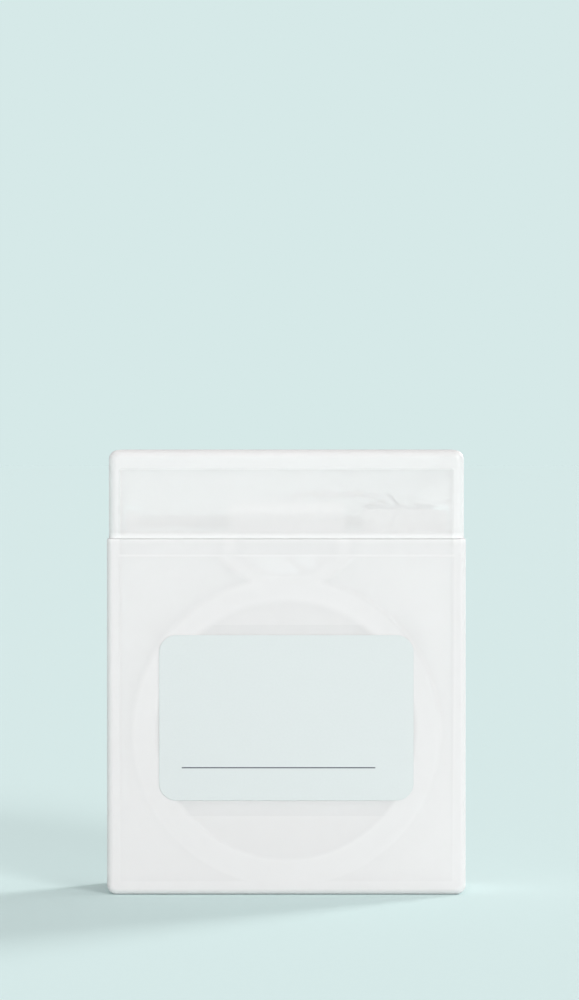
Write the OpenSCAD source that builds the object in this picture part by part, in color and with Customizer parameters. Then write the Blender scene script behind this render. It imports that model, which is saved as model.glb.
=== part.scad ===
// Refillable dental floss dispenser, 46 x 17 x 57 mm: a translucent case with a flip lid,
// a rear refill door and a spool of floss that turns on a post inside a round well.
// Millimetres. +Z is up, the front faces -Y, and the origin is under the middle of the base.

/* [Case] */
// Width of the case
case_w = 46; // [45:0.5:60]
// Depth of the case from front to back
case_d = 17; // [17:0.5:24]
// Height of the case below the lid
body_h = 45.6; // [45.6:0.2:60]
// Thickness of the case walls
wall = 1.6; // [1.4:0.1:1.7]
// Radius of the case's outer corners
corner_r = 1.2; // [0.4:0.1:2]

/* [Lid] */
// Height of the lid
lid_h = 11.2; // [10.6:0.1:16]
// How far each side of the lid stands in from the side of the case
lid_inset = 0.25; // [0:0.05:0.25]
// Thickness of the lid's front and side walls
lid_wall = 1.4; // [1.2:0.1:1.4]
// Gap at the seam between the lid and the case
seam_gap = 0.2; // [0.2:0.05:0.3]
// Radius of the lid's hinge knuckles
knuckle_r = 1.6; // [1.4:0.1:1.6]
// Radius of the lid's hinge pin
lid_pin_r = 0.7; // [0.5:0.05:0.8]

/* [Deck] */
// Thickness of the deck that closes the case under the lid
deck_t = 1.9; // [1.6:0.1:2.4]
// Width of the outlet tower
tower_w = 15.1; // [10:0.1:15.5]
// Depth of the outlet tower
tower_d = 7; // [5:0.5:8]
// Height of the outlet tower above the deck
tower_h = 4.9; // [3:0.1:5.2]
// Radius of the hole that the floss comes out of
outlet_r = 0.8; // [0.6:0.1:1.2]
// Height of the rim that locates the lid
rim_h = 1.2; // [0.8:0.1:1.6]
// Thickness of the rim that locates the lid
rim_t = 0.8; // [0.6:0.1:1]

/* [Cutter] */
// Width of the cutter plate
cutter_w = 9; // [7:0.5:9.5]
// Depth of the cutter plate
cutter_d = 6; // [5:0.5:7]
// Thickness of the cutter's steel
cutter_t = 0.4; // [0.3:0.05:0.5]
// Height of the pedestal that the cutter is staked to
pedestal_h = 4; // [2:0.1:4.4]
// Length of the cutting tooth
tooth_l = 2.6; // [2:0.1:2.8]
// Width of the cutting tooth at its root
tooth_w = 3; // [2:0.1:3.2]
// Angle that the tooth is bent up by
tooth_angle = 48; // [35:1:55]

/* [Spool] */
// Outer radius of the wound floss
floss_r = 16.5; // [13:0.1:16.6]
// Width of the wound floss
floss_w = 10.4; // [8:0.2:10.6]
// Outer radius of the hub
hub_r = 6.5; // [5.6:0.1:9]
// Radius of the post that the hub turns on
post_r = 3.9; // [3:0.1:4]
// Diameter of the floss
floss_d = 0.7; // [0.5:0.05:0.7]
// Turns of floss in the outer layer
floss_turns = 8; // [5:1:8]

/* [Well] */
// Thickness of the wall round the spool
well_wall = 2; // [1.4:0.1:2.2]
// Radius of the saddle that guides the floss to the deck
saddle_r = 9.4; // [7:0.1:11]
// Thickness of the saddle
saddle_wall = 1.4; // [1:0.1:1.4]
// Width of the slot that lets the floss leave the well
slot_w = 2.6; // [2:0.1:3.4]

/* [Labels] */
// Width of the front label
label_w = 32.6; // [20:0.1:38]
// Height of the front label
label_h = 21.2; // [12:0.1:26]
// Radius of the front label's corners
label_r = 2.2; // [0.5:0.1:4]
// Height of the front label's middle above the base
label_z = 22.7; // [18:0.1:26]
// Thickness of the label film
label_t = 0.1; // [0.08:0.01:0.2]
// Width of the rear label
rear_label_w = 36; // [24:0.5:40]
// Height of the rear label
rear_label_h = 24.7; // [14:0.1:28]

/* [Hidden] */
$fn = 64;

// Clearances
fit = 0.1;
running = 0.2;
rim_gap = 0.3;
pin_fit = 0.03;
overrun = 1;

// Case
inner_w = case_w - 2 * wall;
front_y = -case_d / 2;
back_y = case_d / 2;
front_in_y = front_y + wall;
back_in_y = back_y - wall;

// Deck
deck_z1 = body_h - running;
deck_z0 = deck_z1 - deck_t;
deck_w = inner_w - 2 * fit;

// Lid and its hinge
lid_w = case_w - 2 * lid_inset;
lid_in_w = lid_w - 2 * lid_wall;
lid_z0 = body_h + seam_gap;
lid_z1 = lid_z0 + lid_h;
lid_top_t = 1.6;
knuckle_lift = 0.6;
hinge_y = back_y - knuckle_r;
hinge_z = deck_z1 + knuckle_r + knuckle_lift;
lid_heel_r = hinge_z - lid_z0;
fixed_knuckle_r = knuckle_r - fit;
knuckle_relief = 0.9;
knuckle_relief_r = knuckle_r + knuckle_relief;
middle_knuckle_w = 11.6;
ear_w = 1.8;
ear_x = lid_in_w / 2 - rim_gap - ear_w / 2;
bead_w = 12;
bead_h = 0.8;
bead_t = 0.2;

// Winding: rings in each turn and sides round the floss
turn_rings = 24;
turn_sides = 6;
wind_r = floss_r - floss_d / 2;
wind_span = floss_w - floss_d - 2 * fit;
wind_pitch = wind_span / floss_turns;

// Spool, well and post
well_gap = 1.1;
well_in_r = floss_r + well_gap;
well_out_r = well_in_r + well_wall;
spool_z = wall - running + well_out_r;
hub_end = 0.3;
hub_w = floss_w + 2 * hub_end;
hub_bore_r = post_r + fit;
core_r = wind_r * cos(180 / turn_rings) - floss_d / 2 - fit / 2;
hub_lip = 1;
post_flange_r = hub_r - hub_lip;
post_tip = 0.8;
post_bore_r = 2.2;

// Rear door and its hinge
door_barrel_r = 1.3;
door_pin_r = 0.6;
door_pin_seat = 1;
door_y = back_y - door_barrel_r;
door_z = wall + running + door_barrel_r;
door_z1 = deck_z0 - running;
door_w = inner_w - 2 * running;
door_ring_h = back_in_y - hub_w / 2 - rim_gap;
door_ring_gap = 0.8;
door_ring_wall = 1.2;
door_ring_in_r = post_r + door_ring_gap;
door_ring_out_r = door_ring_in_r + door_ring_wall;
notch_r = 4;
well_back_y = door_y - door_barrel_r - running - fit;

// Saddle and slot
saddle_rise = 6.6;
saddle_z = deck_z0 + saddle_rise;
slot_d = 6;
slot_drop = 0.4;
slot_z = deck_z0 - slot_drop;
lane_r = floss_r + floss_d / 2 + rim_gap;
slot_l = sqrt(pow(slot_z - spool_z, 2) - pow(lane_r, 2));
slot_tilt = asin(lane_r / (slot_z - spool_z));

// Cutter
cutter_edge = 2.35;
cutter_x = deck_w / 2 - cutter_edge - cutter_w / 2;
cutter_z = deck_z1 + pedestal_h;
stake_r = 0.55;
stake_head_r = 1;
stake_head_t = 0.4;
stake_depth = 1.4;
stake_edge = 1.4;
stake_x = cutter_w / 2 - stake_edge;
stake_y = -cutter_d / 2 + stake_edge;
tooth_gap = 0.25;
tooth_x = 0.15;

// Floss outside the spool, from the well's slot through the outlet to the cutter
STRAND = [[12.2, 0, 33.2], [11.4, 0, 33.9], [10.6, 0, 34.6], [9, 0, 36], [7.4, 0, 37.2],
    [5.8, 0, 38.5], [4.2, 0, 39.8], [2.6, 0, 41], [1.3, 0, 42], [0.4, 0, 42.9], [0, 0, 43.9],
    [0, 0, 46], [0, 0, 48.2], [0, 0, 49.6], [0.2, 0, 50.5], [0.8, 0, 51], [2, 0, 51.2],
    [4.4, 0, 51.2], [6.8, 0, 51.2], [8.4, 0, 51.25], [10, 0, 51.25], [11.4, 0, 51], [12.4, 0, 50.5],
    [13.2, 0, 50.3]];
strand_steps = 3;
strand_sides = 8;

// A rounded rectangle about its middle
module rounded_rect(w, h, r) {
    square([w - 2 * r, h], center = true);
    square([w, h - 2 * r], center = true);
    for (x = [-1, 1], y = [-1, 1])
        translate([x * (w / 2 - r), y * (h / 2 - r)]) circle(r);
}

// A ring about its middle
module ring(outer_r, inner_r) {
    difference() {
        circle(outer_r);
        circle(inner_r);
    }
}

// A front-view outline (x, z) carried from y0 back to y1
module along_y(y0, y1) {
    translate([0, y1, 0]) rotate([90, 0, 0]) linear_extrude(y1 - y0) children();
}

// A side-view outline (y, z) carried from x0 to x1
module along_x(x0, x1) {
    translate([x0, 0, 0]) rotate([90, 0, 90]) linear_extrude(x1 - x0) children();
}

// A tube of n sides swept along points; each ring stands square to the path
function unit(v) = v / norm(v);
function heading(p, i) = unit(p[min(i + 1, len(p) - 1)] - p[max(i - 1, 0)]);
function ring_at(p, i, r, n, side) =
    let (t = heading(p, i), u = unit(cross(side, t)), v = cross(t, u))
    [for (k = [0:n - 1]) p[i] + r * (cos(360 * k / n) * u + sin(360 * k / n) * v)];
module tube(path, r, n, side) {
    m = len(path);
    points = [for (i = [0:m - 1]) each ring_at(path, i, r, n, side)];
    walls = [for (i = [0:m - 2], k = [0:n - 1])
        let (a = i * n + k, b = i * n + (k + 1) % n)
        each [[a, a + n, b], [b, a + n, b + n]]];
    caps = [for (k = [1:n - 2]) each [[0, k, k + 1], [(m - 1) * n, (m - 1) * n + k + 1, (m - 1) * n + k]]];
    polyhedron(points, concat(walls, caps), convexity = 10);
}

// A smooth path through hand-placed points
function smooth_at(a, b, c, d, t) = 0.5 * (2 * b + (c - a) * t
    + (2 * a - 5 * b + 4 * c - d) * t * t + (3 * b - a - 3 * c + d) * t * t * t);
function smooth(p, steps) = let (n = len(p)) concat(
    [for (i = [0:n - 2], s = [0:steps - 1])
        smooth_at(p[max(i - 1, 0)], p[i], p[i + 1], p[min(i + 2, n - 1)], s / steps)],
    [p[n - 1]]);

// The outline of the case from the front, with its two lower corners rounded
module case_outline() {
    translate([-case_w / 2, corner_r]) square([case_w, body_h - corner_r]);
    translate([-case_w / 2 + corner_r, 0]) square([case_w - 2 * corner_r, body_h]);
    for (s = [-1, 1]) translate([s * (case_w / 2 - corner_r), corner_r]) circle(corner_r);
}

// The outline of the lid from the front, with its two upper corners rounded
module lid_outline() {
    translate([-lid_w / 2, lid_z0]) square([lid_w, lid_h - corner_r]);
    translate([-lid_w / 2 + corner_r, lid_z0]) square([lid_w - 2 * corner_r, lid_h]);
    for (s = [-1, 1]) translate([s * (lid_w / 2 - corner_r), lid_z1 - corner_r]) circle(corner_r);
}

// Case: front, sides and base, with the round well and the saddle moulded inside the front
module body_shell() {
    color([0.93, 0.95, 0.95, 0.6])
    difference() {
        union() {
            difference() {
                along_y(front_y, back_y) case_outline();
                translate([-inner_w / 2, front_in_y, wall]) cube([inner_w, case_d, body_h]);
            }
            along_y(front_in_y - wall / 2, well_back_y) intersection() {
                difference() {
                    union() {
                        translate([0, spool_z]) circle(well_out_r);
                        translate([0, saddle_z]) ring(saddle_r + saddle_wall, saddle_r);
                    }
                    translate([0, spool_z]) circle(well_in_r);
                }
                translate([-case_w / 2 + wall / 2, wall / 2])
                    square([case_w - wall, deck_z0 - wall / 2]);
            }
        }
        translate([0, 0, slot_z]) rotate([0, 180 - slot_tilt, 0])
            translate([-slot_w / 2, -slot_d / 2, 0]) cube([slot_w, slot_d, slot_l]);
        along_x(-inner_w / 2 - door_pin_seat - pin_fit, inner_w / 2 + door_pin_seat + pin_fit)
            translate([door_y, door_z]) circle(door_pin_r + pin_fit);
    }
}

// A hinge knuckle of the deck, from x0 to x1, on its web
module deck_knuckle(x0, x1) {
    along_x(x0, x1) {
        translate([hinge_y, hinge_z]) circle(fixed_knuckle_r);
        translate([hinge_y - fixed_knuckle_r, deck_z0 + deck_t / 2])
            square([2 * fixed_knuckle_r, hinge_z - deck_z0 - deck_t / 2]);
    }
}

// Deck: closes the case under the lid and carries the outlet tower, the cutter and the hinge
module deck() {
    rim_y = front_in_y + rim_gap;
    rim_l = hinge_y - 2 * knuckle_r - rim_y;
    color([0.95, 0.96, 0.96, 0.8])
    difference() {
        union() {
            translate([-deck_w / 2, front_in_y + fit, deck_z0])
                cube([deck_w, case_d - wall - fit, deck_t]);
            translate([-tower_w / 2, -tower_d / 2, deck_z0]) cube([tower_w, tower_d, deck_t + tower_h]);
            translate([cutter_x - cutter_w / 2, -cutter_d / 2, deck_z0])
                cube([cutter_w, cutter_d, deck_t + pedestal_h]);
            difference() {
                translate([-lid_in_w / 2 + running, rim_y, deck_z0])
                    cube([lid_in_w - 2 * running, rim_l, deck_t + rim_h]);
                translate([-lid_in_w / 2 + running + rim_t, rim_y + rim_t, deck_z0 - overrun])
                    cube([lid_in_w - 2 * running - 2 * rim_t, rim_l, deck_t + rim_h + 2 * overrun]);
            }
            deck_knuckle(-middle_knuckle_w / 2, middle_knuckle_w / 2);
            for (s = [-1, 1]) deck_knuckle(s * ear_x - ear_w / 2, s * ear_x + ear_w / 2);
        }
        along_x(-case_w / 2, case_w / 2) translate([hinge_y, hinge_z]) circle(lid_pin_r + pin_fit);
        translate([0, 0, deck_z0 - overrun]) cylinder(r = outlet_r, h = deck_t + tower_h + 2 * overrun);
        for (s = [-1, 1]) translate([cutter_x + s * stake_x, stake_y, cutter_z - stake_depth])
            cylinder(r = stake_r, h = stake_depth + overrun);
    }
}

// Lid: a cap open below, with two knuckles at the back and a catch bead inside the front
module lid() {
    knuckle_x0 = middle_knuckle_w / 2 + running;
    knuckle_x1 = ear_x - ear_w / 2 - running;
    color([0.95, 0.97, 0.97, 0.5])
    difference() {
        union() {
            difference() {
                along_y(front_y, back_y) lid_outline();
                translate([-lid_in_w / 2, front_y + lid_wall, lid_z0 - overrun])
                    cube([lid_in_w, hinge_y - front_y - lid_wall, lid_h + overrun - lid_top_t]);
                along_x(-case_w / 2, case_w / 2) difference() {
                    translate([hinge_y, lid_z0 - overrun])
                        square([knuckle_r + overrun, lid_heel_r + overrun]);
                    translate([hinge_y, hinge_z]) circle(lid_heel_r);
                }
            }
            for (s = [0, 1]) mirror([s, 0, 0]) along_x(knuckle_x0, knuckle_x1)
                translate([hinge_y, hinge_z]) circle(knuckle_r);
            translate([-bead_w / 2, front_y + lid_wall - fit, lid_z0 + rim_h])
                cube([bead_w, bead_t + fit, bead_h]);
        }
        along_x(-knuckle_x0, knuckle_x0) translate([hinge_y, hinge_z]) circle(knuckle_relief_r);
        for (s = [0, 1]) mirror([s, 0, 0]) along_x(knuckle_x1, lid_in_w / 2)
            translate([hinge_y, hinge_z]) circle(knuckle_relief_r);
        along_x(-lid_in_w / 2, lid_in_w / 2) translate([hinge_y, hinge_z]) circle(lid_pin_r + fit);
    }
}

// Pin of the lid's hinge, held by the deck's knuckles
module lid_hinge_pin() {
    pin_w = lid_in_w - 2 * running;
    color("silver") along_x(-pin_w / 2, pin_w / 2) translate([hinge_y, hinge_z]) circle(lid_pin_r);
}

// The outline of the cutting tooth, pointing at the tower, grown by a gap all round
module tooth_outline(gap) {
    polygon([[0, -tooth_w / 2 - gap], [-tooth_l - gap, 0], [0, tooth_w / 2 + gap]]);
}

// Cutter: a steel plate with a pointed tooth slit free and bent up
module cutter() {
    color([0.75, 0.76, 0.78])
    translate([cutter_x, 0, cutter_z]) {
        difference() {
            translate([-cutter_w / 2, -cutter_d / 2, 0]) cube([cutter_w, cutter_d, cutter_t]);
            translate([tooth_x, 0, -cutter_t]) linear_extrude(3 * cutter_t) tooth_outline(tooth_gap);
            for (s = [-1, 1]) translate([s * stake_x, stake_y, -cutter_t])
                cylinder(r = stake_r, h = 3 * cutter_t);
        }
        translate([tooth_x, 0, 0]) rotate([0, tooth_angle, 0]) linear_extrude(cutter_t)
            tooth_outline(0);
    }
}

// Stakes: two headed pegs that hold the cutter down on its pedestal
module cutter_stakes() {
    color([0.95, 0.96, 0.96])
    for (s = [-1, 1]) translate([cutter_x + s * stake_x, stake_y, 0]) {
        translate([0, 0, cutter_z - stake_depth])
            cylinder(r = stake_r - pin_fit, h = stake_depth + cutter_t);
        translate([0, 0, cutter_z + cutter_t]) cylinder(r = stake_head_r, h = stake_head_t);
    }
}

// Post: a hollow axle with a flange, seated on the inside of the case's front
module spool_post() {
    flange_y = -hub_w / 2 - running;
    color([0.95, 0.96, 0.96, 0.8])
    difference() {
        union() {
            along_y(front_in_y, flange_y) translate([0, spool_z]) circle(post_flange_r);
            along_y(front_in_y, hub_w / 2 + post_tip) translate([0, spool_z]) circle(post_r);
        }
        along_y(flange_y, back_y) translate([0, spool_z]) circle(post_bore_r);
    }
}

// Hub: the tube that the floss is wound on
module spool_hub() {
    color([0.9, 0.91, 0.92])
    along_y(-hub_w / 2, hub_w / 2) translate([0, spool_z]) ring(hub_r, hub_bore_r);
}

// Wound floss under its outer layer
module floss_core() {
    color([0.97, 0.97, 0.95])
    along_y(-floss_w / 2, floss_w / 2) translate([0, spool_z]) ring(core_r, hub_r + pin_fit);
}

// Outer layer of the winding: one unbroken floss, wound from front to back
module floss_winding() {
    n = floss_turns * turn_rings;
    path = [for (i = [0:n]) let (a = 360 * i / turn_rings)
        [wind_r * cos(a), -wind_span / 2 + wind_pitch * i / turn_rings, spool_z + wind_r * sin(a)]];
    gap = min([for (i = [0:n - turn_rings]) norm(path[i + turn_rings] - path[i])]) - floss_d;
    echo(least_gap_in_winding_mm = gap);
    color([0.98, 0.98, 0.97]) tube(path, floss_d / 2, turn_sides, [0, 1, 0]);
}

// Floss from the well, out through the tower and across to the cutter
module floss_strand() {
    color([0.98, 0.98, 0.97]) tube(smooth(STRAND, strand_steps), floss_d / 2, strand_sides, [0, 1, 0]);
}

// Rear door: hinged at the base for refilling, with a ring that keeps the spool on its post
module rear_door() {
    color([0.93, 0.95, 0.95, 0.6])
    difference() {
        union() {
            along_y(back_in_y, back_y) translate([-door_w / 2, door_z]) square([door_w, door_z1 - door_z]);
            along_x(-door_w / 2, door_w / 2) translate([door_y, door_z]) circle(door_barrel_r);
            along_y(back_in_y - door_ring_h, back_in_y + wall / 2) translate([0, spool_z])
                ring(door_ring_out_r, door_ring_in_r);
        }
        along_x(-inner_w / 2, inner_w / 2) translate([door_y, door_z]) circle(door_pin_r + fit);
        along_y(back_in_y - overrun, back_y + overrun) translate([0, door_z1]) circle(notch_r);
    }
}

// Pin of the door's hinge, seated in both sides of the case
module door_hinge_pin() {
    pin_w = inner_w + 2 * door_pin_seat;
    color("silver") along_x(-pin_w / 2, pin_w / 2) translate([door_y, door_z]) circle(door_pin_r);
}

// Front label: a bare rounded film on the case's front
module front_label() {
    color([0.80, 0.90, 0.89])
    along_y(front_y - label_t, front_y) translate([0, label_z]) rounded_rect(label_w, label_h, label_r);
}

// Rear label: a bare rounded film on the door
module rear_label() {
    color([0.80, 0.90, 0.89])
    along_y(back_y, back_y + label_t) translate([0, label_z])
        rounded_rect(rear_label_w, rear_label_h, label_r);
}

body_shell();
deck();
lid();
lid_hinge_pin();
cutter();
cutter_stakes();
spool_post();
spool_hub();
floss_core();
floss_winding();
floss_strand();
rear_door();
door_hinge_pin();
front_label();
rear_label();
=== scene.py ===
# A pocket dental floss dispenser: a frosted case with a flip lid, standing on a pale floor.
# Lengths are in metres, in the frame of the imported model.
import math

import bmesh
import bpy
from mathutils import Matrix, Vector, noise


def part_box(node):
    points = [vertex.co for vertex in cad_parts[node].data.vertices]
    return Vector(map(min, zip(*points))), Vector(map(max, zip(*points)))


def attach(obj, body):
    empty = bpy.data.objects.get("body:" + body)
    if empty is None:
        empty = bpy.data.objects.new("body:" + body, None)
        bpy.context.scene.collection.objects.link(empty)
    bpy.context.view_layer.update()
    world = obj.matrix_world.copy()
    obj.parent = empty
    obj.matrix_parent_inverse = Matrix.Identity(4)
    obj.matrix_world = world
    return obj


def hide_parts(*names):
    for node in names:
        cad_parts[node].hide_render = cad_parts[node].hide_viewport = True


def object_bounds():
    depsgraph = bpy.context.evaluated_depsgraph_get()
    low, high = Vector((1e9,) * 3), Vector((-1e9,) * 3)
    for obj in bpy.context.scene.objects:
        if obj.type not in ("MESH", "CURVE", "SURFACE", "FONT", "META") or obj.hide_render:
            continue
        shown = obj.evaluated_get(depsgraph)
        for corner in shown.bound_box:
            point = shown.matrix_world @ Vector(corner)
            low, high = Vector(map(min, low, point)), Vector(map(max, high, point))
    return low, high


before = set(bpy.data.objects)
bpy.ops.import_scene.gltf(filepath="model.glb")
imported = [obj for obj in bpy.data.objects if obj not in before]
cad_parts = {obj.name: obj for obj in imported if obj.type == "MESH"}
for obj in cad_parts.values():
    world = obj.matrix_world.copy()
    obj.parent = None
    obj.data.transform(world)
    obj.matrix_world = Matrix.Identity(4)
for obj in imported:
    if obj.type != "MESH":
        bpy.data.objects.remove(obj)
cad_low, cad_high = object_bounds()
MM = 0.001

# Camera. It stands well back on a long lens, a little above the dispenser, and looks straight
# at its front. The dispenser fills the lower half of the frame.
FRAME_TALL = 128.0 * MM
FRAME_MID_X = 0.4 * MM
FRAME_MID_Z = 50.6 * MM
CAMERA_RISE = math.radians(0.8)
CAMERA_AWAY = 620 * MM
SENSOR = 36.0
CLIP_NEAR = 10 * MM
CLIP_FAR = 20.0
bpy.ops.object.select_all(action="DESELECT")
look_at = Vector((FRAME_MID_X, cad_low.y, FRAME_MID_Z))
away = Vector((0, -math.cos(CAMERA_RISE), math.sin(CAMERA_RISE)))
bpy.ops.object.camera_add(location=look_at + away * CAMERA_AWAY)
camera = bpy.context.object
camera.name = "camera"
camera.rotation_euler = (-away).to_track_quat("-Z", "Y").to_euler()
camera.data.sensor_width = SENSOR
camera.data.lens = SENSOR * CAMERA_AWAY / FRAME_TALL
camera.data.clip_start = CLIP_NEAR
camera.data.clip_end = CLIP_FAR
bpy.context.scene.camera = camera

# Light. Pale even air, a broad soft sun high on the right, and a weaker one behind that glows
# through the plastic and throws the shadow forward. A third, without shadows, stands for the
# light that the frosted walls scatter inwards. Two soft boxes only give gloss. The camera sees
# the far air in the colour of the lit floor, so that no horizon shows.
AIR_LOW = (1.0, 0.95, 0.955)
AIR_HIGH = (0.90, 0.92, 0.915)
AIR_CLIMB = 1.2
AIR_STRENGTH = 0.665
FAR_AIR = (0.672, 0.815, 0.807)
SUN_TINT = (1.0, 0.985, 0.985)
# sockets of a colour mix node: its two colours, and its result
MIX_FIRST, MIX_SECOND, MIXED = 6, 7, 2
SUNS = {
    # name: (from, size, strength, casts shadows)
    "front": ((0.50, -1.00, 0.36), math.radians(16), 1.3, True),
    "behind": ((0.75, 0.85, 0.46), math.radians(18), 1.8, True),
    "scattered": ((0.20, -1.00, 0.10), math.radians(30), 0.25, False),
}
SOFT_BOXES = {
    # name: (place, aimed at, size, power)
    "left": ((-0.60, -0.70, 0.30), (0, 0, 0.03), 0.50, 1.1),
    "right": ((0.55, -0.60, 0.65), (0, 0, 0.03), 0.40, 1.4),
}
bpy.context.scene.view_settings.view_transform = "Standard"
bpy.context.scene.view_settings.look = "None"
world = bpy.data.worlds.new("pale_air")
bpy.context.scene.world = world
world.use_nodes = True
air = world.node_tree
near_air = air.nodes["Background"]
near_air.inputs["Strength"].default_value = AIR_STRENGTH
sky_place = air.nodes.new("ShaderNodeTexCoord")
sky_parts = air.nodes.new("ShaderNodeSeparateXYZ")
sky_climb = air.nodes.new("ShaderNodeMath")
sky_climb.operation = "MULTIPLY"
sky_climb.use_clamp = True
sky_climb.inputs[1].default_value = AIR_CLIMB
sky_tone = air.nodes.new("ShaderNodeMix")
sky_tone.data_type = "RGBA"
sky_tone.inputs[MIX_FIRST].default_value = (*AIR_LOW, 1)
sky_tone.inputs[MIX_SECOND].default_value = (*AIR_HIGH, 1)
air.links.new(sky_place.outputs["Generated"], sky_parts.inputs["Vector"])
air.links.new(sky_parts.outputs["Z"], sky_climb.inputs[0])
air.links.new(sky_climb.outputs[0], sky_tone.inputs[0])
air.links.new(sky_tone.outputs[MIXED], near_air.inputs["Color"])
far_air = air.nodes.new("ShaderNodeBackground")
far_air.inputs["Color"].default_value = (*FAR_AIR, 1)
seen = air.nodes.new("ShaderNodeLightPath")
either = air.nodes.new("ShaderNodeMixShader")
air.links.new(seen.outputs["Is Camera Ray"], either.inputs["Fac"])
air.links.new(near_air.outputs["Background"], either.inputs[1])
air.links.new(far_air.outputs["Background"], either.inputs[2])
air.links.new(either.outputs["Shader"], air.nodes["World Output"].inputs["Surface"])
for name, (place, size, strength, shadows) in SUNS.items():
    bpy.ops.object.light_add(type="SUN", location=place)
    sun = bpy.context.object
    sun.name = "sun_" + name
    sun.rotation_euler = (-Vector(place)).to_track_quat("-Z", "Y").to_euler()
    sun.data.energy = strength
    sun.data.angle = size
    sun.data.use_shadow = shadows
    sun.data.color = SUN_TINT
for name, (place, target, size, power) in SOFT_BOXES.items():
    bpy.ops.object.light_add(type="AREA", location=place)
    lamp = bpy.context.object
    lamp.name = "soft_box_" + name
    lamp.rotation_euler = (Vector(target) - Vector(place)).to_track_quat("-Z", "Y").to_euler()
    lamp.data.size = size
    lamp.data.energy = power
    lamp.visible_diffuse = False


# Floor. A plain pale sheet of coated card under the dispenser, which runs on far beyond it.
# Its material, like all of those that follow, is written with the two classes below.
class Wire:
    """The output of a shader node, which takes part in sums."""

    def __init__(self, tree, socket):
        self.tree = tree
        self.socket = socket

    def sum_node(self, operation, first, second):
        node = self.tree.nodes.new("ShaderNodeMath")
        node.operation = operation
        for slot, value in zip(node.inputs, (first, second)):
            if isinstance(value, Wire):
                self.tree.links.new(value.socket, slot)
            else:
                slot.default_value = value
        return Wire(self.tree, node.outputs[0])

    def __add__(self, other):
        return self.sum_node("ADD", self, other)

    __radd__ = __add__

    def __sub__(self, other):
        return self.sum_node("SUBTRACT", self, other)

    def __rsub__(self, other):
        return self.sum_node("SUBTRACT", other, self)

    def __mul__(self, other):
        return self.sum_node("MULTIPLY", self, other)

    def __truediv__(self, other):
        return self.sum_node("DIVIDE", self, other)

    def __gt__(self, other):
        return self.sum_node("GREATER_THAN", self, other)

    def __lt__(self, other):
        return self.sum_node("LESS_THAN", self, other)


class Finish:
    """A material on Object coordinates, whose nodes are written as expressions."""

    def __init__(self, name, **constants):
        self.material = bpy.data.materials.new(name)
        self.material.use_nodes = True
        self.tree = self.material.node_tree
        self.shader = self.tree.nodes["Principled BSDF"]
        self.place = self.node("ShaderNodeTexCoord", out="Object")
        for socket, value in constants.items():
            self.shader.inputs[socket.replace("_", " ")].default_value = value

    def node(self, kind, settings=None, inputs=None, out=0):
        """Adds a node; settings are its own properties, inputs its sockets."""
        node = self.tree.nodes.new(kind)
        for key, value in (settings or {}).items():
            setattr(node, key, value)
        for key, value in (inputs or {}).items():
            if isinstance(value, Wire):
                self.tree.links.new(value.socket, node.inputs[key])
            else:
                node.inputs[key].default_value = value
        return Wire(self.tree, node.outputs[out])

    def stretched(self, scale, turn=(0, 0, 0), shift=(0, 0, 0)):
        """Object coordinates, scaled by different amounts along each axis, turned and shifted."""
        return self.node(
            "ShaderNodeMapping", None,
            {"Vector": self.place, "Rotation": turn, "Scale": scale, "Location": shift})

    def away_from(self, x, z):
        """The distance from a line that runs from front to back."""
        across = self.stretched((1, 0, 1), shift=(-x, 0, -z))
        return self.node("ShaderNodeVectorMath", {"operation": "LENGTH"}, {0: across}, "Value")

    def fade(self, value, edge, blur):
        """0 below an edge and 1 above it, with a soft step."""
        limits = {"Value": value, "From Min": edge - blur, "From Max": edge + blur}
        return self.node("ShaderNodeMapRange", {"interpolation_type": "SMOOTHSTEP"}, limits)

    def held(self, value):
        """A value held between 0 and 1."""
        clamped = {"operation": "ADD", "use_clamp": True}
        return self.node("ShaderNodeMath", clamped, {0: value, 1: 0.0})

    def speckle(self, scale, detail=2.0, rough=0.5, where=None):
        """Soft noise from 0 to 1, with features about 1 / scale across."""
        look = {"Vector": where or self.place, "Scale": scale, "Detail": detail, "Roughness": rough}
        return self.node("ShaderNodeTexNoise", None, look, "Fac")

    def mixed(self, factor, first, second):
        """One colour fading into another."""
        pair = {0: factor, MIX_FIRST: colour4(first), MIX_SECOND: colour4(second)}
        return self.node("ShaderNodeMix", {"data_type": "RGBA"}, pair, MIXED)

    def along(self, axis):
        """The Object coordinate along one axis."""
        return self.node("ShaderNodeSeparateXYZ", None, {"Vector": self.place}, axis)

    def wear(self, height, strength, distance):
        """Bump on the shader's Normal."""
        relief = {"Height": height, "Strength": strength, "Distance": distance}
        self.feed("Normal", self.node("ShaderNodeBump", None, relief))

    def feed(self, socket, wire):
        """Drives one of the shader's inputs."""
        self.tree.links.new(wire.socket, self.shader.inputs[socket])


def colour4(value):
    """A colour with its alpha; a Wire stays as it is."""
    return value if isinstance(value, Wire) else (*value, 1)


FLOOR_R = 8.0
FLOOR_SIDES = 128
FLOOR_DROP = 0.02 * MM
CARD_LOW = (0.690, 0.836, 0.829)
CARD_HIGH = (0.708, 0.857, 0.850)
MOTTLE = 900
MOTTLE_DEPTH = 0.05 * MM
bpy.ops.mesh.primitive_circle_add(
    vertices=FLOOR_SIDES, radius=FLOOR_R, fill_type="NGON", location=(0, 0, 0))
floor = bpy.context.object
floor.name = "floor"
bpy.ops.object.mode_set(mode="EDIT")
bpy.ops.mesh.select_all(action="SELECT")
bpy.ops.transform.translate(value=(0, 0, -FLOOR_DROP))
bpy.ops.mesh.extrude_region_move(TRANSFORM_OT_translate={"value": (0, 0, -FLOOR_DROP)})
bpy.ops.object.mode_set(mode="OBJECT")
card = Finish("pale_card", Roughness=0.95, Specular_IOR_Level=0.0)
mottle = card.speckle(MOTTLE, detail=3)
card.feed("Base Color", card.mixed(mottle, CARD_LOW, CARD_HIGH))
card.wear(mottle, 0.1, MOTTLE_DEPTH)
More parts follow.
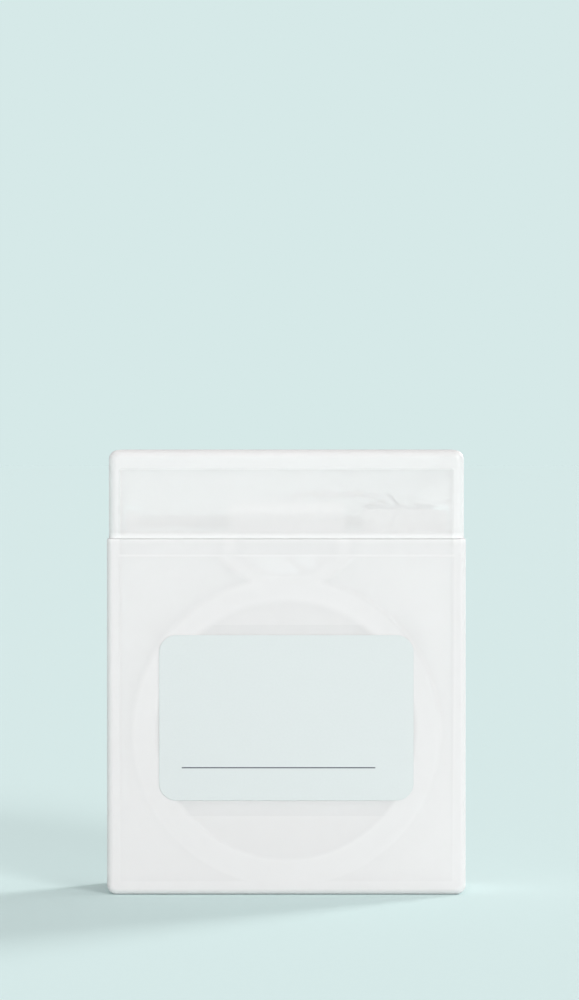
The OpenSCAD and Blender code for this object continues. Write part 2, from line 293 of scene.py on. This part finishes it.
floor.data.materials.append(card.material)


# Case. The front, sides and base are one thin moulding in frosted polypropylene, open at the
# back and the top, with the round well for the spool and the saddle for the floss inside.
# The helpers for copying, bevelling and settling a piece are first used here.
MERGE = 0.001 * MM
FLAT_ANGLE = math.radians(0.5)
SHARP_ANGLE = math.radians(40)
SMOOTH_ANGLE = math.radians(30)
SOFT_LIMIT = math.radians(30)
FLAT_WEIGHT = 100


def merged_copy(node, name):
    """A copy of a CAD node's mesh as a new object, merged and with its flat faces whole."""
    bpy.ops.object.select_all(action="DESELECT")
    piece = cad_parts[node].copy()
    piece.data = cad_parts[node].data.copy()
    piece.parent = None
    for key in list(piece.keys()):
        del piece[key]
    piece.name = name
    piece.data.materials.clear()
    bpy.context.scene.collection.objects.link(piece)
    piece.select_set(True)
    bpy.context.view_layer.objects.active = piece
    bpy.ops.object.mode_set(mode="EDIT")
    bpy.ops.mesh.select_all(action="SELECT")
    bpy.ops.mesh.remove_doubles(threshold=MERGE)
    bpy.ops.mesh.dissolve_limited(angle_limit=FLAT_ANGLE)
    bpy.ops.mesh.select_all(action="DESELECT")
    bpy.ops.object.mode_set(mode="OBJECT")
    return piece


def round_edges(piece, chosen, radius, steps):
    """Bevels the sharp edges of a piece that pass a test on their two ends."""
    bpy.ops.object.mode_set(mode="EDIT")
    bpy.ops.mesh.select_all(action="DESELECT")
    bpy.ops.mesh.select_mode(type="EDGE")
    mesh = bmesh.from_edit_mesh(piece.data)
    for edge in mesh.edges:
        sharp = edge.is_manifold and edge.calc_face_angle(0) > SHARP_ANGLE
        edge.select_set(sharp and chosen(edge.verts[0].co, edge.verts[1].co))
    bmesh.update_edit_mesh(piece.data)
    bpy.ops.mesh.bevel(
        offset=radius, segments=steps, profile=0.5, affect="EDGES", clamp_overlap=True)
    bpy.ops.mesh.select_mode(type="VERT")
    bpy.ops.object.mode_set(mode="OBJECT")


def shift_part(piece, chosen, step):
    """Moves the vertices of a piece that pass a test."""
    bpy.ops.object.mode_set(mode="EDIT")
    bpy.ops.mesh.select_mode(type="VERT")
    bpy.ops.mesh.select_all(action="DESELECT")
    mesh = bmesh.from_edit_mesh(piece.data)
    for vertex in mesh.verts:
        vertex.select_set(chosen(vertex.co))
    bmesh.update_edit_mesh(piece.data)
    bpy.ops.transform.translate(value=step)
    bpy.ops.object.mode_set(mode="OBJECT")


def soften(piece, radius, steps, angle=SOFT_LIMIT):
    """Bevels every edge that is still sharp, and smooths the rest."""
    bevel = piece.modifiers.new("soft_edges", "BEVEL")
    bevel.width = radius
    bevel.segments = steps
    bevel.limit_method = "ANGLE"
    bevel.angle_limit = angle
    bevel.use_clamp_overlap = True
    bevel.miter_outer = "MITER_ARC"
    bpy.ops.object.modifier_apply(modifier=bevel.name)
    bpy.ops.object.shade_smooth_by_angle(angle=SMOOTH_ANGLE)
    flat = piece.modifiers.new("flat_faces", "WEIGHTED_NORMAL")
    flat.weight = FLAT_WEIGHT
    flat.keep_sharp = True
    bpy.ops.object.modifier_apply(modifier=flat.name)


def settle(piece, finish, body, slot, *nodes):
    """Gives a finished piece its material and body, and hides the CAD nodes it stands for. Its slot
    is not used.
    """
    piece.data.materials.append(finish.material)
    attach(piece, body)
    if nodes:
        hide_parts(*nodes)


EDGE_BLUR = 0.25 * MM
THICK = 0.92
THICK_TONE = 0.86
CLOUD_TONE = 0.975
CLOUDS = 90
GRAIN = 3800
HAIRS = (5200, 5200, 110)
HAIR_TURN = (0, 0.5, 0.3)
MILK_DEPTH = 0.35 * MM
GRAIN_DEPTH = 0.015 * MM


def thick_sides(plastic, low, high, walls):
    """1 where a box-shaped moulding is seen along one of its walls, 0 where through one."""
    near = 0.0
    for axis, start, end, wall_pair in zip("XYZ", low, high, walls):
        inward = (plastic.along(axis) - start, end - plastic.along(axis))
        for depth, wall in zip(inward, wall_pair):
            if wall:
                near = 1 - plastic.fade(depth, wall, EDGE_BLUR) + near
    return plastic.held(near - 1)


def frosted(name, tint, rough, thin, thick=None):
    """Frosted polypropylene: milky where it is thick and see-through where it is thin."""
    plastic = Finish(
        name, IOR=1.46, Subsurface_Weight=0.25, Subsurface_Radius=(1.0, 1.0, 1.0),
        Subsurface_Scale=MILK_DEPTH)
    cloud = plastic.speckle(CLOUDS, detail=3)
    grain = plastic.speckle(GRAIN)
    hairs = plastic.speckle(1, detail=1, where=plastic.stretched(HAIRS, HAIR_TURN))
    tone = plastic.mixed(cloud, tint, tuple(CLOUD_TONE * c for c in tint))
    plastic.feed("Roughness", rough + cloud * 0.08 + hairs * 0.06)
    plastic.wear(grain, 0.15, GRAIN_DEPTH)
    density = thin + cloud * 0.06
    if thick:
        deep = thick(plastic)
        tone = plastic.mixed(deep, tone, tuple(THICK_TONE * c for c in tint))
        density = density + deep * (THICK - thin)
    plastic.feed("Base Color", tone)
    plastic.feed("Alpha", plastic.held(density))
    return plastic


CASE_EDGE = 0.8 * MM
CASE_EDGE_STEPS = 5
SOFT_EDGE = 0.18 * MM
SOFT_ANGLE = math.radians(50)
SEAM_EDGE = 0.04 * MM
EDGE_NEAR = 0.01 * MM
case_low, case_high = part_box("body_shell")
CASE_WALL = 1.6 * MM
FRONT_SKIN = 0.4 * MM
BAND_BLUR = 0.55 * MM
DECK_LINE = 0.12 * MM
FILM_Z = (10.1 * MM, 34.6 * MM)
FILM_BLUR = 0.08 * MM
WELL_MIDDLE_Z = 21.0 * MM
WELL_R = (16.7 * MM, 19.6 * MM)
SADDLE_MIDDLE_Z = 50.1 * MM
SADDLE_R = (9.4 * MM, 10.8 * MM)
RIB_X = (6.6 * MM, 8.1 * MM)
RIB_BLUR = 0.6 * MM
FOOT_Z = 17.0 * MM
FOOT_BLUR = 15.0 * MM
SADDLE_MILK = 0.35
DECK_MILK = 0.7
RIB_MILK = 0.35
FOOT_MILK = 0.7
WELL_MILK = 0.3
GLUE_CLEAR = 0.3
deck_low, deck_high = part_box("deck")


def band(plastic, value, start, end, blur):
    """1 between two values, with soft steps."""
    return plastic.fade(value, start, blur) * (1 - plastic.fade(value, end, blur))


def on_outside(place, low):
    """Whether a point lies on the front or the sides of a moulding."""
    return place.y < low.y + EDGE_NEAR or abs(place.x) > -low.x - EDGE_NEAR


def case_thickness(plastic):
    """Thick along the outer walls, and in front of the well's wall, the saddle, the tower's
    ends and the deck. Milkier inside the well and the saddle and towards the foot, and clearer
    under the label's film, whose glue fills the frosting."""
    front = plastic.along("Y") < case_low.y + FRONT_SKIN
    height = plastic.along("Z")
    well = band(plastic, plastic.away_from(0, WELL_MIDDLE_Z), *WELL_R, BAND_BLUR)
    saddle = band(plastic, plastic.away_from(0, SADDLE_MIDDLE_Z), *SADDLE_R, BAND_BLUR)
    under_deck = 1 - plastic.fade(height, deck_low.z, EDGE_BLUR)
    deck_edge = band(plastic, height, deck_low.z - DECK_LINE, deck_low.z + DECK_LINE, DECK_LINE)
    walls = ((CASE_WALL, CASE_WALL), (CASE_WALL, CASE_WALL), (CASE_WALL, 0))
    sides = thick_sides(plastic, case_low, case_high, walls)
    in_well = 1 - plastic.fade(plastic.away_from(0, WELL_MIDDLE_Z), WELL_R[0], BAND_BLUR)
    aside = plastic.node("ShaderNodeMath", {"operation": "ABSOLUTE"}, {0: plastic.along("X")})
    in_saddle = 1 - plastic.fade(plastic.away_from(0, SADDLE_MIDDLE_Z), SADDLE_R[0], BAND_BLUR)
    rib = band(plastic, aside, *RIB_X, RIB_BLUR) * (1 - under_deck)
    foot = (1 - plastic.fade(height, FOOT_Z, FOOT_BLUR)) * (1 - in_well)
    glued = band(plastic, height, *FILM_Z, FILM_BLUR) * in_well
    in_front = under_deck * (well + saddle + in_saddle * SADDLE_MILK) + deck_edge * DECK_MILK
    in_front = in_front + rib * RIB_MILK + foot * FOOT_MILK + in_well * WELL_MILK
    return plastic.held(sides + front * in_front) - front * glued * GLUE_CLEAR


# Painted light at the edges: the softness of its bands, its brightness, and the height of the band
# along the seam.
GLOW_BLUR = 0.25 * MM
PAINTED_GLOW_LEVEL = 0.15
SEAM_GLOW = 0.2 * MM
CASE_TINT = (0.955, 0.925, 0.927)
DOOR_TINT = (0.96, 0.94, 0.94)


def paint_edge_glow(plastic, where):
    """Painted light: a faint emitted glow at an edge, standing in for light that frosted plastic
    carries there from its lit faces.
    """
    plastic.feed("Emission Color", plastic.mixed(where, (0, 0, 0), (PAINTED_GLOW_LEVEL,) * 3))
    plastic.shader.inputs["Emission Strength"].default_value = 1.0


case_plastic = frosted(
    "frosted_case", CASE_TINT, rough=0.33, thin=0.67, thick=case_thickness)
door_plastic = frosted("frosted_door", DOOR_TINT, rough=0.36, thin=0.6)
# Painted light: a faint glow emitted along the front of the case's top edge, which lifts the shade
# in the seam.
seam_glow_mask = case_plastic.fade(case_plastic.along("Z"), case_high.z - SEAM_GLOW, BAND_BLUR)
paint_edge_glow(case_plastic, seam_glow_mask * (case_plastic.along("Y") < case_low.y + FRONT_SKIN))
shell = merged_copy("body_shell", "case_moulding")
round_edges(
    shell,
    lambda a, b: max(a.y, b.y) < case_low.y + EDGE_NEAR and min(a.z, b.z) < case_high.z - EDGE_NEAR,
    CASE_EDGE, CASE_EDGE_STEPS)
round_edges(
    shell,
    lambda a, b: min(a.z, b.z) > case_high.z - EDGE_NEAR
    and on_outside(a, case_low) and on_outside(b, case_low),
    SEAM_EDGE, 1)
soften(shell, SOFT_EDGE, steps=2, angle=SOFT_ANGLE)
settle(shell, case_plastic, "case", "case_plastic", "body_shell")

# Lid. A deep cap in a thinner grade of the same plastic, hinged at the back on two knuckles,
# with rounded front and back edges and a small catch bead inside the front.
LID_EDGE = 1.0 * MM
LID_EDGE_STEPS = 5
lid_low, lid_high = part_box("lid")
LID_WALL = 1.4 * MM
LID_TOP = 2.4 * MM
LID_LIP = 0.45 * MM
LID_TINT = (0.975, 0.955, 0.955)
LID_SIDE_MILK = 0.8
LID_TOP_MILK = 0.25
LID_LIP_MILK = 0.7
SEAM_CLOSE = 0.14 * MM


def lid_thickness(plastic):
    """Thick along the lid's walls, along its lower lip and over its top."""
    walls = ((LID_WALL, LID_WALL), (LID_WALL, LID_WALL), (0, LID_TOP))
    sides = thick_sides(plastic, lid_low, lid_high, walls)
    top = plastic.fade(plastic.along("Z"), lid_high.z - LID_EDGE / 2, EDGE_BLUR)
    lip = 1 - plastic.fade(plastic.along("Z"), lid_low.z + LID_LIP, EDGE_BLUR)
    return plastic.held(sides * LID_SIDE_MILK + top * LID_TOP_MILK + lip * LID_LIP_MILK)


lid_plastic = frosted("frosted_lid", LID_TINT, rough=0.32, thin=0.45, thick=lid_thickness)
# Painted light: a faint glow emitted along the front of the lid's lower edge, which lifts the shade
# in the seam.
seam_glow_mask = 1 - lid_plastic.fade(lid_plastic.along("Z"), lid_low.z + SEAM_GLOW / 2, BAND_BLUR)
paint_edge_glow(lid_plastic, seam_glow_mask * (lid_plastic.along("Y") < lid_low.y + FRONT_SKIN))
lid = merged_copy("lid", "lid_moulding")
round_edges(
    lid,
    lambda a, b: max(a.y, b.y) < lid_low.y + EDGE_NEAR and max(a.z, b.z) > lid_low.z + EDGE_NEAR,
    LID_EDGE, LID_EDGE_STEPS)
shift_part(lid, lambda place: place.z < lid_low.z + EDGE_NEAR and place.y < 0, (0, 0, -SEAM_CLOSE))
round_edges(lid, lambda a, b: max(a.z, b.z) < lid_low.z + EDGE_NEAR, SEAM_EDGE, 1)
soften(lid, SOFT_EDGE, steps=2, angle=SOFT_ANGLE)
settle(lid, lid_plastic, "lid", "lid_plastic", "lid")

# Deck. It closes the case under the lid, and carries the outlet tower, the cutter's pedestal,
# the rim that locates the lid and the fixed knuckles of its hinge. It is whiter than the case,
# and the front of the tower's rounded top and foot has painted light: a faint emitted glow.
DECK_TINT = (0.965, 0.95, 0.95)
deck_plastic = frosted("milky_deck", DECK_TINT, rough=0.28, thin=0.92)
TOWER_EDGE = 1.2 * MM
TOWER_EDGE_STEPS = 5
TOWER_EDGE_Y = 2.0 * MM
TOWER_FOOT = 0.8 * MM
TOWER_FOOT_STEPS = 4
TOWER_FOOT_Y = 3.6 * MM
TOWER_FOOT_X = 19.0 * MM
TOWER_HALF = 7.7 * MM
TOWER_FRONT = (-4.6 * MM, -2.4 * MM)
# Painted light on the tower: the bands of its top and foot that glow, and the share of the top one.
TOP_GLOW = (1.5 * MM, 1.0 * MM)
TOP_GLOW_SHARE = 0.8
FOOT_GLOW = 0.3 * MM
DECK_TOP = 45.4 * MM
DECK_SOFT_EDGE = 0.22 * MM
# Painted light: a faint glow emitted on the front of the tower's rounded top and foot.
height = deck_plastic.along("Z")
top_glow = (deck_high.z - TOP_GLOW[0], deck_high.z + TOP_GLOW[1])
lit = band(deck_plastic, height, *top_glow, GLOW_BLUR) * TOP_GLOW_SHARE
lit = lit + band(deck_plastic, height, DECK_TOP - FOOT_GLOW, DECK_TOP + TOWER_FOOT, GLOW_BLUR)
lit = lit * band(deck_plastic, deck_plastic.along("Y"), *TOWER_FRONT, GLOW_BLUR)
lit = lit * band(deck_plastic, deck_plastic.along("X"), -TOWER_HALF, TOWER_HALF, GLOW_BLUR)
paint_edge_glow(deck_plastic, lit)
deck = merged_copy("deck", "deck_moulding")
round_edges(
    deck,
    lambda a, b: min(a.z, b.z) > deck_high.z - EDGE_NEAR and max(abs(a.y), abs(b.y)) > TOWER_EDGE_Y,
    TOWER_EDGE, TOWER_EDGE_STEPS)
round_edges(
    deck,
    lambda a, b: max(abs(a.z - DECK_TOP), abs(b.z - DECK_TOP)) < EDGE_NEAR
    and max(abs(a.y), abs(b.y)) < TOWER_FOOT_Y and max(abs(a.x), abs(b.x)) < TOWER_FOOT_X,
    TOWER_FOOT, TOWER_FOOT_STEPS)
soften(deck, DECK_SOFT_EDGE, steps=3)
settle(deck, deck_plastic, "case", "deck_plastic", "deck")

# Cutter. A plate stamped from thin stainless sheet, brushed along its length, with a sharp
# tooth bent up towards the tower and two pegs headed over to hold it.
BLADE_EDGE = 0.04 * MM
BRUSHING = (300, 7000, 7000)
BRUSH_DEPTH = 0.01 * MM
STEEL_DARK = (0.44, 0.45, 0.47)
STEEL_LIGHT = (0.58, 0.585, 0.595)
steel = Finish("brushed_stainless", Metallic=1.0, Anisotropic=0.4)
drag = steel.speckle(1, detail=3, rough=0.6, where=steel.stretched(BRUSHING))
steel.feed("Base Color", steel.mixed(drag, STEEL_DARK, STEEL_LIGHT))
steel.feed("Roughness", 0.22 + drag * 0.2)
steel.wear(drag, 0.25, BRUSH_DEPTH)
blade = merged_copy("cutter", "cutter_plate")
soften(blade, BLADE_EDGE, steps=2)
settle(blade, steel, "case", "cutter_steel", "cutter")
stakes = merged_copy("cutter_stakes", "cutter_pegs")
soften(stakes, SOFT_EDGE, steps=3)
settle(stakes, deck_plastic, "case", "deck_plastic", "cutter_stakes")

# Hinge pins. Straight lengths of drawn wire, one through the lid's knuckles and one through
# the foot of the rear door.
PIN_EDGE = 0.15 * MM
DRAWING = (120, 6000, 6000)
WIRE_DARK = (0.56, 0.57, 0.58)
WIRE_LIGHT = (0.68, 0.68, 0.69)
wire = Finish("drawn_wire", Metallic=1.0)
line = wire.speckle(1, where=wire.stretched(DRAWING))
wire.feed("Base Color", wire.mixed(line, WIRE_DARK, WIRE_LIGHT))
wire.feed("Roughness", 0.25 + line * 0.15)
for node in ("lid_hinge_pin", "door_hinge_pin"):
    pin = merged_copy(node, node.replace("hinge_pin", "pin_wire"))
    soften(pin, PIN_EDGE, steps=2)
    settle(pin, wire, "case", "pin_steel", node)

# Post and hub. The post is a hollow axle on a round foot inside the front, and the hub that
# the floss is wound on turns on it.
AXLE_EDGE = 0.2 * MM
HUB_TINT = (0.84, 0.84, 0.85)
post = merged_copy("spool_post", "post_moulding")
soften(post, AXLE_EDGE, steps=2)
settle(post, deck_plastic, "case", "deck_plastic", "spool_post")
hub_plastic = frosted("white_hub", HUB_TINT, rough=0.38, thin=1.0)
hub = merged_copy("spool_hub", "hub_moulding")
soften(hub, AXLE_EDGE, steps=2)
settle(hub, hub_plastic, "spool", "hub_plastic", "spool_hub")

# Floss. Waxed white multifilament, wound layer on layer. Each end of the pack shows a turn
# of every layer, and the outermost layer is one strand wound from front to back.
FLOSS = 0.7 * MM
BORE_GAP = 0.02 * MM
core_low, core_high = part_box("floss_core")
wind_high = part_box("floss_winding")[1]
hub_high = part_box("spool_hub")[1]
spool_z = (core_low.z + core_high.z) / 2
core_r = (core_high.z - core_low.z) / 2
bore_r = hub_high.x + BORE_GAP
layers = round((core_r - bore_r) / FLOSS)
layer = (core_r - bore_r) / layers
TURN_BUMP = 0.22 * MM
TURN_POINTS = 6
PACK_STEPS = 128
WANDER = 0.7 * MM
PACK_BLUR = 0.1 * MM
FIBRES = 5200
FLOSS_CLOUDS = 260
WANDERS = 150
FLOSS_TINT = (0.985, 0.98, 0.965)
GROOVE = (0.22, 0.2)
GROOVE_SHADE = 0.25
SHADE_TONE = 0.86
WAX_DEPTH = 0.6 * MM
TWIST_DEPTH = 0.05 * MM
ROUND_ANGLE = math.radians(60)


def waxed(name, tint):
    """Waxed floss: a soft sheen over fine twisted filaments, and painted shade between the turns.
    """
    floss = Finish(
        name, Sheen_Weight=0.25, Sheen_Roughness=0.4, Subsurface_Weight=0.25,
        Subsurface_Scale=WAX_DEPTH)
    fibre = floss.speckle(FIBRES, rough=0.6)
    cloud = floss.speckle(FLOSS_CLOUDS)
    shade = tuple(SHADE_TONE * c for c in tint)
    strand_tone = floss.mixed(fibre * 0.6 + cloud * 0.4, shade, tint)
    # Painted shade: the base colour darkens in the rings between the turns on the ends of the pack.
    wander = (floss.speckle(WANDERS) - 0.5) * WANDER
    climb = (floss.away_from(0, spool_z) + wander - bore_r) / layer
    groove = floss.node("ShaderNodeMath", {"operation": "PINGPONG"}, {0: climb, 1: 0.5})
    on_pack = floss.fade(core_r - floss.away_from(0, spool_z), 0, PACK_BLUR)
    gap_shade = (1 - floss.fade(groove, *GROOVE)) * on_pack
    gap_shade_tone = tuple(GROOVE_SHADE * c for c in tint)
    floss.feed("Base Color", floss.mixed(gap_shade, strand_tone, gap_shade_tone))
    floss.feed("Roughness", 0.42 + fibre * 0.25)
    floss.wear(fibre, 0.5, TWIST_DEPTH)
    return floss


floss_finish = waxed("waxed_floss", FLOSS_TINT)
profile = []
for side in (-1, 1):
    edge = []
    for k in range(layers * TURN_POINTS + 1):
        lift = abs(math.sin(math.pi * k / TURN_POINTS))
        out = bore_r + layer * k / TURN_POINTS
        edge.append((out, side * (core_high.y - TURN_BUMP * (1 - lift))))
    profile += edge if side < 0 else edge[::-1]
bpy.ops.object.select_all(action="DESELECT")
bpy.ops.mesh.primitive_circle_add(vertices=len(profile), radius=core_r, location=(0, 0, 0))
pack = bpy.context.object
pack.name = "floss_pack"
for vertex, (r, y) in zip(pack.data.vertices, profile):
    vertex.co = (r, y, spool_z)
bpy.ops.object.mode_set(mode="EDIT")
bpy.ops.mesh.select_all(action="SELECT")
bpy.ops.mesh.spin(steps=PACK_STEPS, angle=2 * math.pi, center=(0, 0, spool_z), axis=(0, 1, 0))
bpy.ops.mesh.select_all(action="SELECT")
bpy.ops.mesh.remove_doubles(threshold=MERGE)
bpy.ops.mesh.normals_make_consistent(inside=False)
bpy.ops.object.mode_set(mode="OBJECT")
bpy.ops.object.shade_smooth_by_angle(angle=ROUND_ANGLE)
settle(pack, floss_finish, "spool", "floss", "floss_core")

WIND_TURNS = 13
WIND_RINGS = 48
DRIFT = 0.03 * MM
DRIFT_RATE = 3.1
DRIFT_SEED = 7
TUBE_SIDES = 8
wind_r = wind_high.x - FLOSS / 2
wind_half = wind_high.y - FLOSS / 2
path = []
for k in range(WIND_TURNS * WIND_RINGS + 1):
    turn = k / WIND_RINGS
    angle = 2 * math.pi * turn
    drift = DRIFT * noise.noise(Vector((turn * DRIFT_RATE, 0, DRIFT_SEED)))
    y = -wind_half + 2 * wind_half * turn / WIND_TURNS + drift
    path.append((wind_r * math.cos(angle), y, spool_z + wind_r * math.sin(angle)))


def floss_tube(name, path, radius, sides):
    """A closed tube of floss along points, made from a curve with a round section."""
    bpy.ops.object.select_all(action="DESELECT")
    bpy.ops.curve.primitive_nurbs_path_add(location=(0, 0, 0))
    rope = bpy.context.object
    rope.name = name
    rope.data.splines.clear()
    spline = rope.data.splines.new("POLY")
    spline.points.add(len(path) - 1)
    for point, place in zip(spline.points, path):
        point.co = (*place, 1)
    rope.data.dimensions = "3D"
    rope.data.twist_mode = "MINIMUM"
    rope.data.bevel_depth = radius
    rope.data.bevel_resolution = sides // 4 - 1
    rope.data.use_fill_caps = True
    bpy.ops.object.convert(target="MESH")
    bpy.ops.object.mode_set(mode="EDIT")
    bpy.ops.mesh.select_all(action="SELECT")
    bpy.ops.mesh.remove_doubles(threshold=MERGE)
    bpy.ops.mesh.normals_make_consistent(inside=False)
    bpy.ops.object.mode_set(mode="OBJECT")
    bpy.ops.object.shade_smooth_by_angle(angle=ROUND_ANGLE)
    return bpy.context.object


winding = floss_tube("floss_outer_layer", path, FLOSS / 2, TUBE_SIDES)
settle(winding, floss_finish, "spool", "floss", "floss_winding")

# Loose floss. It leaves the winding through the slot in the well, runs up through the tower
# and over to the cutter, which holds its cut end.
STRAND_MM = [
    (12.2, 0, 33.2), (11.4, 0, 33.9), (10.6, 0, 34.6), (9, 0, 36), (7.4, 0, 37.2),
    (5.8, 0, 38.5), (4.2, 0, 39.8), (2.6, 0, 41), (1.3, 0, 42), (0.4, 0, 42.9), (0, 0, 43.9),
    (0, 0, 46), (0, 0, 48.2), (0, 0, 49.6), (0.2, 0, 50.5), (0.8, 0, 51), (2, 0, 51.2),
    (4.4, 0, 51.2), (6.8, 0, 51.2), (8.4, 0, 51.25), (10, 0, 51.25), (11.4, 0, 51),
    (12.4, 0, 50.5), (13.2, 0, 50.3)]
STRAND_STEPS = 8
STRAND_SIDES = 12


def smooth_path(points, steps):
    """Points on a smooth curve through given ones."""
    made = []
    for i in range(len(points) - 1):
        a, b = points[max(i - 1, 0)], points[i]
        c, d = points[i + 1], points[min(i + 2, len(points) - 1)]
        for s in range(steps):
            t = s / steps
            made.append(0.5 * (2 * b + (c - a) * t + (2 * a - 5 * b + 4 * c - d) * t ** 2
                               + (3 * b - a - 3 * c + d) * t ** 3))
    return made + [points[-1]]


strand_path = smooth_path([Vector(p) * MM for p in STRAND_MM], STRAND_STEPS)
strand = floss_tube("floss_loose_end", strand_path, FLOSS / 2, STRAND_SIDES)
settle(strand, floss_finish, "case", "floss", "floss_strand")

# Rear door. A flat frosted panel hinged at the foot for refilling, with a finger notch at the
# top and a ring inside that keeps the spool on its post.
DOOR_EDGE = 0.14 * MM
door = merged_copy("rear_door", "door_moulding")
soften(door, DOOR_EDGE, steps=2)
settle(door, door_plastic, "door", "case_plastic", "rear_door")

# Labels. Bare rounded films in pale mint, one on the front and one on the door, with a satin
# face and a fine printed rule across the lower third of the front one.
RULE_Z = 16.3 * MM
RULE_HALF = 0.075 * MM
RULE_X = (-13.4 * MM, 11.4 * MM)
RULE_INK = (0.09, 0.085, 0.12)
MINT = (0.715, 0.745, 0.745)
DOT_TONE = 0.965
DOTS = 3600
DOT_DEPTH = 0.02 * MM
FILM_EDGE = 0.03 * MM
for node, ruled in (("front_label", True), ("rear_label", False)):
    film = Finish(
        "mint_film_front" if ruled else "mint_film_rear",
        Specular_IOR_Level=0.4, Coat_Roughness=0.3)
    dots = film.speckle(DOTS, detail=1)
    tone = film.mixed(dots, MINT, tuple(DOT_TONE * c for c in MINT))
    if ruled:
        x, z = film.along("X"), film.along("Z")
        rule = (z > RULE_Z - RULE_HALF) * (z < RULE_Z + RULE_HALF)
        rule = rule * (x > RULE_X[0]) * (x < RULE_X[1])
        tone = film.mixed(rule, tone, RULE_INK)
    film.feed("Base Color", tone)
    film.feed("Roughness", 0.42 + dots * 0.1)
    film.wear(dots, 0.06, DOT_DEPTH)
    label = merged_copy(node, node + "_film")
    soften(label, FILM_EDGE, steps=2)
    settle(label, film, "case" if ruled else "door", "label_film", node)
